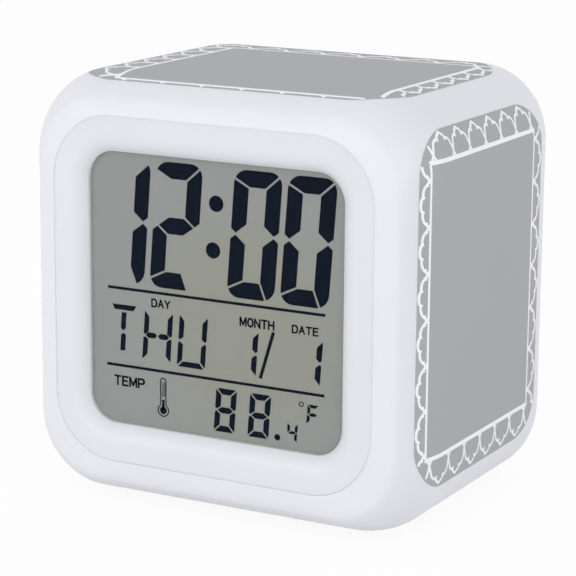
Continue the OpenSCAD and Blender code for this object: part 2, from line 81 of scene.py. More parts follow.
class CaseSizes(bpy.types.PropertyGroup):
    """Outer form of the case, as in the part's source; depths grow towards the back"""

    width: length("Width", "Case from side to side", 0.080)
    height: length("Height", "Case from its underside to its top", 0.0784)
    front: length("Front", "Depth of the front crest", -0.0324)
    back: length("Back", "Depth of the flat back", 0.0316)
    middle: length("Middle", "Height of the case's middle above the table", 0.0396)
    edge_r: length("Corner radius", "Radius of the four long edges", 0.013)
    front_round: length("Front rounding", "Width of the front rounding", 0.0075)
    front_depth: length("Front rounding depth", "Depth of the front rounding", 0.013)
    rear_round: length("Rear rounding", "Radius of the rear rounding", 0.011)
    split: length("Cover joint", "Depth of the joint to the rear cover", 0.0254)
    groove: length("Joint groove", "Width and depth of the joint's groove", 0.00018)
    wall: length("Wall", "Wall of the case", 0.0022)


class BezelSizes(bpy.types.PropertyGroup):
    """Dished frame round the display"""

    width: length("Width", "Outline of the frame from side to side", 0.0644)
    height: length("Height", "Outline of the frame from bottom to top", 0.0634)
    corner: length("Corner radius", "Radius of the outline's corners", 0.012)
    middle: length("Middle", "Height of the display's middle", 0.0403)
    dish_w: length("Dish width", "Width between the outline and the window", 0.0066)
    dish_depth: length("Dish depth", "Depth of the window edge behind the crest", 0.0022)
    roll_w: length("Roll width", "Width of the rolled edge at the window", 0.0032)
    seam: length("Seam", "Shown gap between the frame and the case", 0.000015)
    set_high: length("Set high", "Frame above its opening's middle", 0.000015)
    window_left: length("Window left", "Farther reach of the window on its left", 0.0006)
    edge_drop: length("Edge drop", "Depth of the frame's outer edge", 0.00006)
    lip: length("Lip", "Thickness of the case round the frame", 0.0024)
    wall: length("Window wall", "Depth of the window's wall down to the display", 0.00074)
    back: length("Back", "Depth of the frame's back behind the window edge", 0.0017)
    post_x: length("Post across", "Posts of the board from the middle", 0.032)
    post_z: length("Post up", "Posts of the board from the display's middle", 0.016)
    post_end: length("Post end", "Depth of the posts' ends behind the crest", 0.010)


class PanelSizes(bpy.types.PropertyGroup):
    """Printed films on the top and the sides"""

    side_long: length("Side height", "Height of a side film", 0.063)
    top_long: length("Top width", "Width of the top film", 0.0644)
    short: length("Short side", "Films from front to back", 0.0486)
    corner: length("Corner radius", "Radius of the films' corners", 0.0085)
    side_y: length("Side centre depth", "Depth of the side films' centre", -0.0035)
    side_z: length("Side centre height", "Height of the side films' centre", 0.0414)
    top_y: length("Top centre depth", "Depth of the top film's centre", -0.0023)
    frame_line: length("Frame line", "Width of the printed frame's lines at the arches", 0.00076)
    thin_line: length("Thin line", "Width of the printed frame's other lines", 0.00046)
    arch_rise: length("Arch rise", "Height of the printed arches over the frame line", 0.0051)
    bow_rise: length("Bow rise", "Height of the printed bows over the front frame line", 0.0023)
    arch_line: length("Arch line", "Width of the printed arches' lines", 0.00046)


class DisplaySizes(bpy.types.PropertyGroup):
    """Segments and lettering of the display"""

    digit_w: length("Digit width", "Width of a time digit", 0.0095)
    digit_h: length("Digit height", "Height of a time digit", 0.0229)
    digit_stroke: length("Digit stroke", "Stroke of a time digit", 0.00298)
    slant: number("Slant", "Sideways lean of the digits by their height", 0.0725)
    image_y: length("Image depth", "Depth of the display's face", -0.02945)
    shift_x: length("Image shift across", "Drawing from the display's middle", 0.00028)
    shift_z: length("Image shift up", "Drawing above the display's middle", 0.00018)
    image_t: length("Image thickness", "Thickness of the drawn segments", 0.00004)


class ClockColours(bpy.types.PropertyGroup):
    """Colours of the visible finishes"""

    case: colour("Case", "Satin white plastic of the case", (0.775, 0.775, 0.805))
    film: colour("Film", "Grey of the printed films", (0.425, 0.424, 0.429))
    ornament: colour("Ornament", "White of the printed ornament", (0.93, 0.93, 0.94))
    display: colour("Display", "Ground of the display", (0.293, 0.301, 0.288))
    segment: colour("Segment", "Dark of the display's segments", (0.0045, 0.008, 0.0165))


class StageSizes(bpy.types.PropertyGroup):
    """Floor, light and camera"""

    azimuth: angle("Azimuth", "Camera round the clock", 28.33)
    elevation: angle("Elevation", "Camera above the clock", 12.46)
    roll: angle("Roll", "Camera about its own axis", 0.46)
    yaw: angle("Yaw", "Turn of the view from the middle", 0.17)
    pitch: angle("Pitch", "Tilt of the view from the middle", 0.44)
    distance: length("Distance", "Camera from the clock's middle", 0.43796)
    lens: number("Lens", "Focal length on a 36 mm sensor", 146.39, unit="CAMERA")
    target: bpy.props.FloatVectorProperty(
        name="Target", description="Point the camera is set from", default=(0.0, -0.0004, 0.0404),
        size=3, subtype="TRANSLATION", unit="LENGTH"
    )
    world: number("World", "Strength of the even light", 0.80)
    floor_size: length("Floor size", "Half of the floor's width", 6.0)
    floor_z: length("Floor height", "Floor just under the clock's pad", -0.0001)


# Name, place, size, power and tint of the lamps, and the point they look at
LAMPS = (
    ("key_lamp", (-0.45, -1.0, 0.28), 0.9, 3.75, (1.0, 0.99, 0.98)),
    ("side_lamp", (1.0, -0.5, 0.3), 0.8, 2.5, (0.99, 0.99, 1.0)),
)
LAMP_AIM = Vector((0, 0, 0.04))


# Meshes


def new_object(name, data):
    """Adds an object to the scene."""
    made = bpy.data.objects.new(name, data)
    bpy.context.scene.collection.objects.link(made)
    return made


def new_mesh(name, points, faces, finish):
    """Adds a mesh of points and faces, with its faces turned outwards."""
    mesh = bpy.data.meshes.new(name)
    mesh.from_pydata(points, [], faces)
    work = bmesh.new()
    work.from_mesh(mesh)
    bmesh.ops.recalc_face_normals(work, faces=work.faces)
    work.to_mesh(mesh)
    work.free()
    mesh.materials.append(finish)
    return new_object(name, mesh)


def add_piece(name, shape, finish, stands_for=(), smooth=True):
    """Adds a drawn shape as a piece that rides on the clock's body."""
    piece = new_mesh(name, shape.points, shape.faces, finish)
    if smooth:
        piece.data.shade_smooth()
        piece.data.set_sharp_from_angle(angle=DRAWN_CRISP)
    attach(piece, "clock_body")
    if stands_for:
        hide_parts(*stands_for)


class Shape:
    """Points and faces of a piece while it is drawn."""

    def __init__(self):
        self.points, self.faces = [], []

    def rings(self, rings, closed):
        """Skins equal rings; a closed row joins its last ring to its first, an open one is capped."""
        start, rows, n = len(self.points), len(rings), len(rings[0])
        for ring in rings:
            self.points += ring
        for i in range(rows if closed else rows - 1):
            a, b = start + i * n, start + (i + 1) % rows * n
            for j in range(n):
                k = (j + 1) % n
                self.faces.append((a + j, a + k, b + k, b + j))
        if not closed:
            end = start + rows * n
            self.faces += [range(start, start + n), range(end - 1, end - n - 1, -1)]

    def ribbon(self, path, width, place, low, high):
        """A thin line along a flat path, between two lifts of a placing function."""
        rings = []
        padded = [path[0], *path, path[-1]]
        for a, (u, v), b in zip(padded, path, padded[2:]):
            du, dv = b[0] - a[0], b[1] - a[1]
            size = math.hypot(du, dv) or 1.0
            nu, nv = -dv / size * width / 2, du / size * width / 2
            left, right = (u + nu, v + nv), (u - nu, v - nv)
            corners = ((left, low), (right, low), (right, high), (left, high))
            rings.append([place(*point, lift) for point, lift in corners])
        self.rings(rings, False)


def arc(cx, cz, r, first, last, n):
    """Points of an arc, angles in degrees."""
    angles = [math.radians(first + (last - first) * k / n) for k in range(n + 1)]
    return [(cx + r * math.cos(a), cz + r * math.sin(a)) for a in angles]


def circle(cx, cz, r):
    """Points of a full circle, each once."""
    return arc(cx, cz, r, 0, 345, 23)


def rounded_loop(half_w, half_h, radius):
    """Points of a rectangle with round corners, in one flat plane."""
    loop = []
    for c, (sx, sz) in enumerate(CORNERS):
        middle = sx * (half_w - radius), sz * (half_h - radius)
        loop += arc(*middle, radius, 90 * c, 90 * c + 90, CORNER_STEPS)
    return loop


def at_depth(loop, y, z):
    """A flat loop stood up at a depth, round a height."""
    return [(u, y, z + v) for u, v in loop]


# The case's outer form


def case_section(case, y):
    """Inset and corner radius of the case at a depth."""
    t = y - case.front
    if t < case.front_depth:
        k = 1 - math.sqrt(1 - (1 - max(t, 0.0) / case.front_depth) ** 2)
        return case.front_round * k, case.edge_r - MM * k
    u = (y - (case.back - case.rear_round)) / case.rear_round
    if u > 0:
        k = 1 - math.sqrt(1 - min(u, 1.0) ** 2)
        return case.rear_round * k, case.edge_r + MM * k
    return 0.0, case.edge_r


def case_ring(case, y, draw_in=0.0):
    """One ring of the case's outer form, drawn in by an amount."""
    inset, radius = case_section(case, y)
    inset += draw_in
    loop = rounded_loop(case.width / 2 - inset, case.height / 2 - inset, radius - draw_in)
    return at_depth(loop, y, case.middle)


def face_reach(case, y, across, along, away):
    """Reach of a face of the case from the middle, at a depth and at a distance along the face."""
    inset, radius = case_section(case, y)
    past = max(away - (along / 2 - inset - radius), 0.0)
    return across / 2 - inset - radius + math.sqrt(max(radius ** 2 - past ** 2, 0.0))


# Finishes

# The span that most of a noise lies in, and where a colour ramp begins and ends
NOISE_SPAN, RAMP_SPAN = (0.3, 0.7), (0.35, 0.65)


def feed(tree, node, sockets):
    """Feeds a node's sockets with other nodes' outputs or with fixed values."""
    for socket, source in sockets.items():
        if isinstance(source, bpy.types.NodeSocket):
            tree.links.new(source, node.inputs[socket])
        else:
            node.inputs[socket].default_value = source


def add_node(tree, kind, sockets=None, **settings):
    """Adds a shader node with its settings and what feeds its sockets."""
    node = tree.nodes.new("ShaderNode" + kind)
    for name, value in settings.items():
        setattr(node, name, value)
    feed(tree, node, sockets or {})
    return node


def new_finish(name):
    """An empty node finish with its surface shader."""
    finish = bpy.data.materials.new(name)
    finish.use_nodes = True
    tree = finish.node_tree
    return finish, tree, tree.nodes["Principled BSDF"]


def own_place(tree):
    """A point's place in the piece's own metres."""
    return add_node(tree, "TexCoord").outputs["Object"]


def grain(tree, scale, detail=4.0):
    """A noise in the piece's own metres."""
    sockets = {"Vector": own_place(tree), "Scale": scale, "Detail": detail, "Roughness": 0.55}
    return add_node(tree, "TexNoise", sockets).outputs["Fac"]


def ranged(tree, source, result, span=NOISE_SPAN, **settings):
    """Maps a value from its span to another."""
    sockets = dict(zip(("Value", "From Min", "From Max", "To Min", "To Max"), (source, *span, *result)))
    return add_node(tree, "MapRange", sockets, **settings).outputs["Result"]


def two_tone(tree, source, first, second):
    """A colour between two by a 0 to 1 value."""
    ramp = add_node(tree, "ValToRGB", {"Fac": source})
    for element, position, tone in zip(ramp.color_ramp.elements, RAMP_SPAN, (first, second)):
        element.position = position
        element.color = (*tone, 1.0)
    return ramp.outputs["Color"]


def tinted(base, factor):
    """A colour made darker by a factor."""
    return tuple(c * factor for c in base)


def relief(tree, source, strength, distance):
    """A fine bump."""
    sockets = {"Height": source, "Strength": strength, "Distance": distance}
    return add_node(tree, "Bump", sockets).outputs["Normal"]


def math_node(tree, operation, *terms):
    """A calculation with outputs and numbers."""
    return add_node(tree, "Math", dict(enumerate(terms)), operation=operation).outputs[0]


def moulded(
    name, base, rough=(0.34, 0.44), vary=0.985, bump=0.06,
    glow=0.0, shine=0.5, clear=0.0, fine_scale=1400.0,
):
    """Moulded plastic with a fine grain and faint flow marks."""
    finish, tree, shader = new_finish(name)
    flow = grain(tree, 45.0, 3.0)
    fine = grain(tree, fine_scale, 2.0)
    feed(tree, shader, {
        "Base Color": two_tone(tree, flow, tinted(base, vary), base),
        "Roughness": ranged(tree, fine, rough),
        "Normal": relief(tree, fine, bump, 0.00004),
        "IOR": 1.49,
        "Specular IOR Level": shine,
        "Transmission Weight": clear,
        "Subsurface Weight": glow,
        "Subsurface Radius": (1.0, 0.95, 0.95),
        "Subsurface Scale": 0.0025,
    })
    return finish


def metal(name, base):
    """Plated metal with fine rubbing marks."""
    finish, tree, shader = new_finish(name)
    rub = grain(tree, 900.0, 5.0)
    feed(tree, shader, {
        "Base Color": two_tone(tree, rub, tinted(base, 0.82), base),
        "Roughness": ranged(tree, rub, (0.2, 0.38)),
        "Normal": relief(tree, rub, 0.08, 0.00003),
        "Metallic": 1.0,
    })
    return finish


def dress(finish, *nodes):
    """Gives CAD nodes a finish and smooth shading on their rounds."""
    for name in nodes:
        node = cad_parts[name]
        node.data.materials.clear()
        node.data.materials.append(finish)
        node.data.shade_smooth()
        node.modifiers.new("joined_points", "WELD").merge_threshold = JOIN_GAP
        node.modifiers.new("crisp_edges", "EDGE_SPLIT").split_angle = SOLID_CRISP


class CLOCK_OT_stage(bpy.types.Operator):
    """Set the pale floor, the soft light and the camera"""

    bl_idname = "clock.stage"
    bl_label = "Stage"

    def execute(self, context):
        scene = context.scene
        stage = scene.clock_stage
        scene.view_settings.view_transform = "Standard"
        set_camera(scene, stage)
        set_floor(stage)
        set_world(scene, stage)
        for lamp in LAMPS:
            set_lamp(*lamp)
        return {"FINISHED"}


def set_camera(scene, stage):
    """Puts the camera where the photograph was taken from."""
    def heading(a, e):
        return Vector((math.sin(a) * math.cos(e), -math.cos(a) * math.cos(e), math.sin(e)))

    place = Vector(stage.target) + heading(stage.azimuth, stage.elevation) * stage.distance
    back = heading(stage.azimuth + stage.yaw, stage.elevation + stage.pitch)
    right = (-back).cross(Vector((0, 0, 1))).normalized()
    up = right.cross(-back)
    c, s = math.cos(stage.roll), math.sin(stage.roll)
    right, up = right * c + up * s, up * c - right * s
    camera = bpy.data.cameras.new("photo_camera")
    camera.sensor_width = 36.0
    camera.lens = stage.lens
    camera.clip_start = 0.01
    camera.clip_end = 20.0
    scene.camera = new_object("photo_camera", camera)
    turn = Matrix((right, up, back)).transposed().to_4x4()
    scene.camera.matrix_world = Matrix.Translation(place) @ turn


def seen_white(tree, shaded, share):
    """Lifts a shader to white where the camera or a mirror sees it."""
    path = add_node(tree, "LightPath")
    seen = path.outputs["Is Camera Ray"]
    for ray in ("Is Glossy Ray", "Is Transmission Ray"):
        seen = math_node(tree, "MAXIMUM", seen, path.outputs[ray])
    white = add_node(tree, "Emission").outputs["Emission"]
    part = math_node(tree, "MULTIPLY", seen, share)
    blend = add_node(tree, "MixShader", {"Fac": part, 1: shaded, 2: white})
    return blend.outputs["Shader"]


def set_floor(stage):
    """A wide pale floor that keeps a soft shadow."""
    finish, tree, shader = new_finish("pale_floor")
    seen = two_tone(tree, grain(tree, 30.0), (0.96, 0.96, 0.96), (0.98, 0.98, 0.98))
    path = add_node(tree, "LightPath")
    tones = {"Factor": path.outputs["Is Camera Ray"], "A": (0.92, 0.92, 0.93, 1.0), "B": seen}
    pale = add_node(tree, "Mix", tones, data_type="RGBA").outputs["Result"]
    feed(tree, shader, {"Base Color": pale, "Roughness": 0.9, "Specular IOR Level": 0.0})
    white = seen_white(tree, shader.outputs["BSDF"], 0.92)
    feed(tree, tree.nodes["Material Output"], {"Surface": white})
    size, z = stage.floor_size, stage.floor_z
    floor = new_mesh("floor", [(sx * size, sy * size, z) for sx, sy in CORNERS], [(0, 1, 2, 3)], finish)


def set_world(scene, stage):
    """Even pale light from all round, white where it is seen."""
    scene.world = bpy.data.worlds.new("studio")
    scene.world.use_nodes = True
    tree = scene.world.node_tree
    ground = tree.nodes["Background"]
    feed(tree, ground, {"Color": (0.96, 0.97, 1.0, 1.0), "Strength": stage.world})
    white = seen_white(tree, ground.outputs["Background"], 1.0)
    feed(tree, tree.nodes["World Output"], {"Surface": white})


def set_lamp(name, place, size, power, tint):
    """A large soft square lamp that looks at the clock."""
    lamp = bpy.data.lights.new(name, "AREA")
    lamp.size = size
    lamp.energy = power
    lamp.color = tint
    aim = (LAMP_AIM - Vector(place)).to_track_quat("-Z", "Y")
    new_object(name, lamp).matrix_world = Matrix.Translation(place) @ aim.to_matrix().to_4x4()


class CLOCK_OT_case(bpy.types.Operator):
    """Build the smooth case shell with its rounded front and dress the rear cover"""

    bl_idname = "clock.case"
    bl_label = "Case"

    def execute(self, context):
        case, bezel = context.scene.clock_case, context.scene.clock_bezel
        plastic = moulded("case_plastic", context.scene.clock_colours.case, glow=0.12)
        # Painted highlight in the case's colour along its front lip, strongest at the foot
        paint_lip_highlight(plastic, case)
        shape = Shape()
        shape.rings(case_rings(case, bezel), True)
        add_piece("case_body", shape, plastic, ("case_shell",))
        dress(plastic, "rear_cover", "battery_door")
        rubber = moulded("pad_rubber", (0.03, 0.03, 0.032), rough=(0.7, 0.85), vary=0.8, bump=0.3)
        dress(rubber, "base_pad")
        return {"FINISHED"}


# Depths behind the front where the painted highlight on the lip is brightest and where it ends
LIP_HIGHLIGHT_PEAK, LIP_END = 0.0010, 0.0022
# Heights between which the painted highlight's gain falls, and the gain at both; it is strongest at the
# foot
FOOT_HIGHLIGHT_SPAN, LIP_HIGHLIGHT_GAIN = (0.004, 0.014), (0.095, 0.042)


def paint_lip_highlight(finish, case):
    """Paints a highlight into the milky plastic's colour along its front lip, strongest at the foot."""
    tree = finish.node_tree
    tone = tree.nodes["Principled BSDF"].inputs["Base Color"]
    split = add_node(tree, "SeparateXYZ", {"Vector": own_place(tree)})

    def fade(axis, span, result):
        return ranged(tree, split.outputs[axis], result, span, interpolation_type="SMOOTHSTEP")

    brightest, end = case.front + LIP_HIGHLIGHT_PEAK, case.front + LIP_END
    rise = fade("Y", (case.front, brightest), (0.7, 1.0))
    fall = fade("Y", (brightest, end), (1.0, 0.0))
    # Mask of the painted highlight: a band just behind the front crest
    lip = math_node(tree, "MULTIPLY", rise, fall)
    share = math_node(tree, "MULTIPLY_ADD", lip, fade("Z", FOOT_HIGHLIGHT_SPAN, LIP_HIGHLIGHT_GAIN), 1.0)
    plain = tone.links[0].from_socket
    highlit = add_node(tree, "VectorMath", {0: plain, "Scale": share}, operation="SCALE")
    tree.links.new(highlit.outputs["Vector"], tone)


# The case's edge at the display frame: how far outside the opening, and how deep
LIP_EDGE = ((0.0, 0.00011), (0.00002, 0.00003), (0.00007, 0.000005), (0.0004, 0.0))
# First angle of the front rounding outside that edge
LIP_ANGLE = 14
# Steps along the front and the rear rounding
FRONT_STEPS, REAR_STEPS = 17, 6
# The first ring inside the front: its depth behind the crest, and how much more it is drawn in
INNER_DEPTH, INNER_DRAW = 0.006, 0.0006


def case_rings(case, bezel):
    """Rings of the shell, from the display opening round the outside and back along the inside."""
    hole = []
    for grow, drop in ((0.0, bezel.lip), *LIP_EDGE):
        loop = rounded_loop(bezel.width / 2 + grow, bezel.height / 2 + grow, bezel.corner + grow)
        hole.append(at_depth(loop, case.front + drop, bezel.middle))
    outer = []
    for k in range(FRONT_STEPS + 1):
        a = math.radians(LIP_ANGLE + (90 - LIP_ANGLE) * k / FRONT_STEPS)
        outer.append(case_ring(case, case.front + case.front_depth * (1 - math.cos(a))))
    turn = case.back - case.rear_round
    last = math.asin((case.split - turn) / case.rear_round)
    for k in range(REAR_STEPS):
        outer.append(case_ring(case, turn + case.rear_round * math.sin(last * k / REAR_STEPS)))
    outer += [case_ring(case, case.split - case.groove), case_ring(case, case.split, case.groove)]
    inner = [case_ring(case, y, case.wall) for y in (case.split, turn, case.front + case.front_depth)]
    inner.append(case_ring(case, case.front + INNER_DEPTH, case.wall + INNER_DRAW))
    return hole + outer + inner


class CLOCK_OT_bezel(bpy.types.Operator):
    """Sweep the dished frame round the display"""

    bl_idname = "clock.bezel"
    bl_label = "Display frame"

    def execute(self, context):
        scene = context.scene
        plastic = moulded("bezel_plastic", tinted(scene.clock_colours.case, 0.98), glow=0.12)
        shape = Shape()
        case, bezel = scene.clock_case, scene.clock_bezel
        rings = []
        for reach, depth in bezel_profile(bezel):
            grow = reach - bezel.corner
            loop = rounded_loop(bezel.width / 2 + grow, bezel.height / 2 + grow, reach)
            wider = bezel.window_left * min(max(-grow / bezel.dish_w, 0.0), 1.0)
            loop = [(x - wider * (x < 0), z) for x, z in loop]
            rings.append(at_depth(loop, case.front + depth, bezel.middle + bezel.set_high))
        shape.rings(rings, True)
        for sx, sz in CORNERS:
            shape.rings(post_rings(case, bezel, sx * bezel.post_x, sz * bezel.post_z), True)
        add_piece("display_frame", shape, plastic, ("front_bezel",))
        return {"FINISHED"}


# Angles of the radius of the rolled edge, where it leaves the dish and at the window
ROLL_FIRST, ROLL_LAST = 85, 35


def bezel_profile(bezel):
    """Reach and depth of the frame's section, from its outer edge to the window and back."""
    window = bezel.corner - bezel.dish_w
    outer = bezel.corner - bezel.seam
    start = (outer - 0.0002, bezel.edge_drop)
    last = math.radians(ROLL_LAST)
    roll = bezel.roll_w / (math.cos(last) - math.cos(math.radians(ROLL_FIRST)))
    middle = window + roll * math.cos(last), bezel.dish_depth + roll * math.sin(last)
    rolled = arc(*middle, -roll, ROLL_FIRST, ROLL_LAST, 14)
    dish = [tuple(a + (b - a) * k / 9 for a, b in zip(start, rolled[0])) for k in range(1, 9)]
    front, back = bezel.dish_depth + bezel.wall, bezel.dish_depth + bezel.back
    tongue, hidden, ledge = bezel.corner - 0.00001, bezel.lip + 0.0001, window + 0.00445
    rim = bezel.corner + 0.0009
    return [
        (tongue, hidden), (tongue, bezel.edge_drop + 0.00012),
        (outer, bezel.edge_drop + 0.00005), (outer - 0.00004, bezel.edge_drop + 0.00001), start,
        *dish, *rolled,
        (window, front), (ledge, front), (ledge, back), (rim, back), (rim, hidden),
    ]


def post_rings(case, bezel, x, z):
    """Rings of one hollow post behind the frame."""
    back = bezel.dish_depth + bezel.back
    outside, bore, end = 0.0024, 0.00115, bezel.post_end
    section = ((outside, back - 0.0005), (outside, end), (bore, end), (bore, back + 0.0006))
    return [at_depth(circle(x, z, radius), case.front + depth, bezel.middle) for radius, depth in section]


class CLOCK_OT_panels(bpy.types.Operator):
    """Lay the grey films on the top and sides and print their ornament"""

    bl_idname = "clock.panels"
    bl_label = "Printed films"

    def execute(self, context):
        scene = context.scene
        case, panel, colours = scene.clock_case, scene.clock_panel, scene.clock_colours
        print_look = {"rough": (0.5, 0.6), "vary": 0.99, "bump": 0.03, "shine": 0.08}
        film = moulded("film_grey", colours.film, fine_scale=2200.0, **print_look)
        ink = moulded("ornament_ink", colours.ornament, **print_look)

        def on_right(u, v, lift):
            y, z = panel.side_y + u, panel.side_z + v
            return face_reach(case, y, case.width, case.height, abs(z - case.middle)) + lift, y, z

        def on_left(u, v, lift):
            x, y, z = on_right(u, v, lift)
            return -x, y, z

        def on_top(u, v, lift):
            y = panel.top_y + u
            return v, y, case.middle + face_reach(case, y, case.height, case.width, abs(v)) + lift

        for name, place, long, inner in (
            ("right", on_right, panel.side_long, SIDE_FRAME),
            ("left", on_left, panel.side_long, SIDE_FRAME),
            ("top", on_top, panel.top_long, TOP_FRAME),
        ):
            outline = (panel.short / 2, long / 2, panel.corner)
            sheet, lines = Shape(), Shape()
            film_sheet(sheet, outline, place)
            add_piece("film_" + name, sheet, film, ("panel_" + name,))
            ornament(lines, panel, outline, inner, place)
            add_piece("ornament_" + name, lines, ink)
        return {"FINISHED"}


# Lift of a film's face and of its underside over the case
FILM_LIFT, FILM_FOOT = 0.00003, -0.0003


def film_sheet(shape, outline, place):
    """A thin sheet that follows the case, with round corners."""
    half_u, half_v, r = outline
    rows = arc(r - half_v, half_u - r, r, 180, 90, 12)
    flat = [((r - half_v) * (1 - k / 8), half_u) for k in range(1, 16)]
    rows += flat + [(-v, reach) for v, reach in reversed(rows)]
    steps = [c / FILM_STEPS for c in range(FILM_STEPS + 1)]
    shares = [(2 * t - 1 - math.cos(math.pi * t)) / 2 for t in steps]
    loop = [(t, FILM_LIFT) for t in shares] + [(t, FILM_FOOT) for t in reversed(shares)]
    shape.rings([[place(reach * t, v, lift) for t, lift in loop] for v, reach in rows], False)


def dense(path):
    """A path with points close enough to follow the curved case."""
    out = [path[0]]
    for a, b in zip(path, path[1:]):
        du, dv = b[0] - a[0], b[1] - a[1]
        n = max(1, int(math.hypot(du, dv) / INK_STEP))
        out += [(a[0] + du * k / n, a[1] + dv * k / n) for k in range(1, n + 1)]
    return out


def soft(path):
    """A smooth curve through points."""
    out = []
    padded = [path[0], *path, path[-1]]
    for four in zip(padded, padded[1:], padded[2:], padded[3:]):
        for t in (0.0, 0.2, 0.4, 0.6, 0.8):
            out.append(tuple(
                b + t * (c - a) / 2 + t * t * (2 * a - 5 * b + 4 * c - d) / 2
                + t ** 3 * (3 * b - a - 3 * c + d) / 2
                for a, b, c, d in zip(*four)
            ))
    return out + [path[-1]]


# Length of a printed line's steps, lift of its underside and of its face, and what each layer adds
INK_STEP, INK_FOOT, INK_LIFT, INK_LAYER = 0.0004, 0.00002, 0.00006, 0.000012
# Front, rear, low and high line of the printed frames and the middle of their front bows
SIDE_FRAME = (-0.0217, 0.0206, -0.0256, 0.0264, -0.0006)
TOP_FRAME = (-0.0235, 0.0183, -0.0228, 0.0292, 0.0031)
# How many arches and bows go into the sides of a frame
ARCHES, FRONT_BOWS, REAR_BOWS = 6.31, 6.47, 6.56
# How much farther along and how much higher the rear bows are
REAR_MOVED, REAR_HIGHER = 0.0015, 0.0008
# Room between the arches and the film's edge, and where neighbouring arches cross over the line
ARCH_ROOM, ARCH_CROSSING = 0.0004, 0.00105
# Strokes of half a pointed arch and half a three-lobed bow, as shares of the pitch from the middle and
# of the height over the crossing
ARCH = (
    soft((
        (0.585, -0.2), (0.5, 0.0), (0.47, 0.16), (0.43, 0.36), (0.38, 0.55), (0.29, 0.67), (0.18, 0.72),
    )),
    ((0.21, 0.72), (0.145, 0.61)),
    soft(((0.19, 0.70), (0.14, 0.83), (0.065, 0.91), (0.0, 1.0))),
)
BOW = (
    soft((
        (0.56, -0.25), (0.5, 0.0), (0.45, 0.17), (0.41, 0.38), (0.36, 0.57), (0.28, 0.72), (0.2, 0.75),
        (0.16, 0.7),
    )),
    ((0.19, 0.76), (0.13, 0.6)),
    soft(((0.16, 0.7), (0.14, 0.84), (0.08, 0.96), (0.0, 1.0))),
    ((0.43, 0.28), (0.38, 0.2)),
)


def inside(outline, u, v, margin):
    """Whether a point lies on the film, clear of its edge."""
    half_u, half_v, r = outline
    du, dv = abs(u) - (half_u - r), abs(v) - (half_v - r)
    if du > 0 and dv > 0:
        return math.hypot(du, dv) < r - margin
    return abs(u) < half_u - margin and abs(v) < half_v - margin


def strokes_in_row(motif, first, lean):
    """Strokes of a row of eight mirrored motifs: the layer of each, and its shares along and up."""
    for k in range(8):
        for side in (-1, 1):
            for layer, part in enumerate(motif):
                yield first + layer + lean * side, [(k - 3.5 + side * w, h) for w, h in part]


def over_line(h, crossing, rise):
    """Height over the frame line of a share of the height over the crossing."""
    reach = rise - crossing
    return crossing + reach * max(h, -crossing / reach)


def ornament(shape, panel, outline, inner, place):
    """The white frame line with its rows of pointed arches and three-lobed bows."""
    front, rear, low, high, middle = inner

    def draw(path, width, layer):
        """Prints the runs of a line that lie on the film, higher layers over others."""
        run = []
        for point in dense(path) + [None]:
            if point and inside(outline, *point, width * 0.4):
                run.append(point)
                continue
            if len(run) > 1:
                shape.ribbon(run, width, place, INK_FOOT, INK_LIFT + INK_LAYER * layer)
            run = []

    for v in (low, high):
        draw([(front - panel.thin_line / 2, v), (rear + panel.thin_line / 2, v)], panel.frame_line, 0)
    for u in (front, rear):
        draw([(u, low), (u, high)], panel.thin_line, 1)
    centre, pitch = (front + rear) / 2, (rear - front) / ARCHES
    for way, base in ((-1, low), (1, high)):
        rise = min(panel.arch_rise, outline[1] - abs(base) - ARCH_ROOM)
        crossing = min(ARCH_CROSSING, 0.25 * rise)
        for layer, points in strokes_in_row(ARCH, 3, 1.5):
            path = [(centre + pitch * t, base + way * over_line(h, crossing, rise)) for t, h in points]
            draw(path, panel.arch_line, layer)
    for way, base, rise, count, centre in (
        (-1, front, panel.bow_rise, FRONT_BOWS, middle),
        (1, rear, panel.bow_rise + REAR_HIGHER, REAR_BOWS, middle + REAR_MOVED),
    ):
        pitch = (high - low) / count
        for layer, points in strokes_in_row(BOW, 4, 2):
            path = [(base + way * over_line(h, 0.22 * rise, rise), centre + pitch * t) for t, h in points]
            draw(path, panel.arch_line, layer)


class CLOCK_OT_display(bpy.types.Operator):
    """Draw the display's segments and lettering and dress its glass"""

    bl_idname = "clock.display"
    bl_label = "Display"

    def execute(self, context):
        scene = context.scene
        sizes, colours, middle = scene.clock_display, scene.clock_colours, scene.clock_bezel.middle
        dark = moulded("segment_dark", colours.segment, rough=(0.4, 0.5), vary=0.9, bump=0.01, shine=0.02)
        dress(display_ground(colours.display, middle), "lcd_cell")
        dress(clear_lens(), "display_lens")
        for draw in (time_digits, calendar_line, temperature_line, rule_lines, display_labels):
            pen = Pen(sizes, middle)
            draw(pen)
            add_piece(draw.__name__, pen.shape, dark, smooth=False)
        return {"FINISHED"}


def display_ground(base, middle):
    """Grey face of the display: warmer towards its middle, with a very fine tooth."""
    finish, tree, shader = new_finish("display_ground")
    reach, centre_x, centre_z = 0.038, 0.006, middle - 0.004
    centre = add_node(tree, "Mapping", {
        "Vector": own_place(tree),
        "Location": (-centre_x / reach, 0.0, -centre_z / reach),
        "Scale": (1 / reach, 0.0, 1 / reach),
    }).outputs["Vector"]
    fade = add_node(tree, "TexGradient", {"Vector": centre}, gradient_type="SPHERICAL")
    warm = (base[0] * 0.995, base[1] * 0.99, base[2] * 0.88)
    feed(tree, shader, {
        "Base Color": two_tone(tree, fade.outputs["Fac"], base, warm),
        "Roughness": ranged(tree, grain(tree, 5200.0, 1.0), (0.5, 0.6)),
        "Specular IOR Level": 0.05,
    })
    return finish


def clear_lens():
    """Clear plastic window that lets the light and the view through."""
    finish, tree, shader = new_finish("lens_clear")
    feed(tree, shader, {
        "Base Color": (0.3, 0.3, 0.31, 1.0),
        "Roughness": ranged(tree, grain(tree, 60.0, 2.0), (0.05, 0.08)),
        "Alpha": 0.004,
    })
    return finish


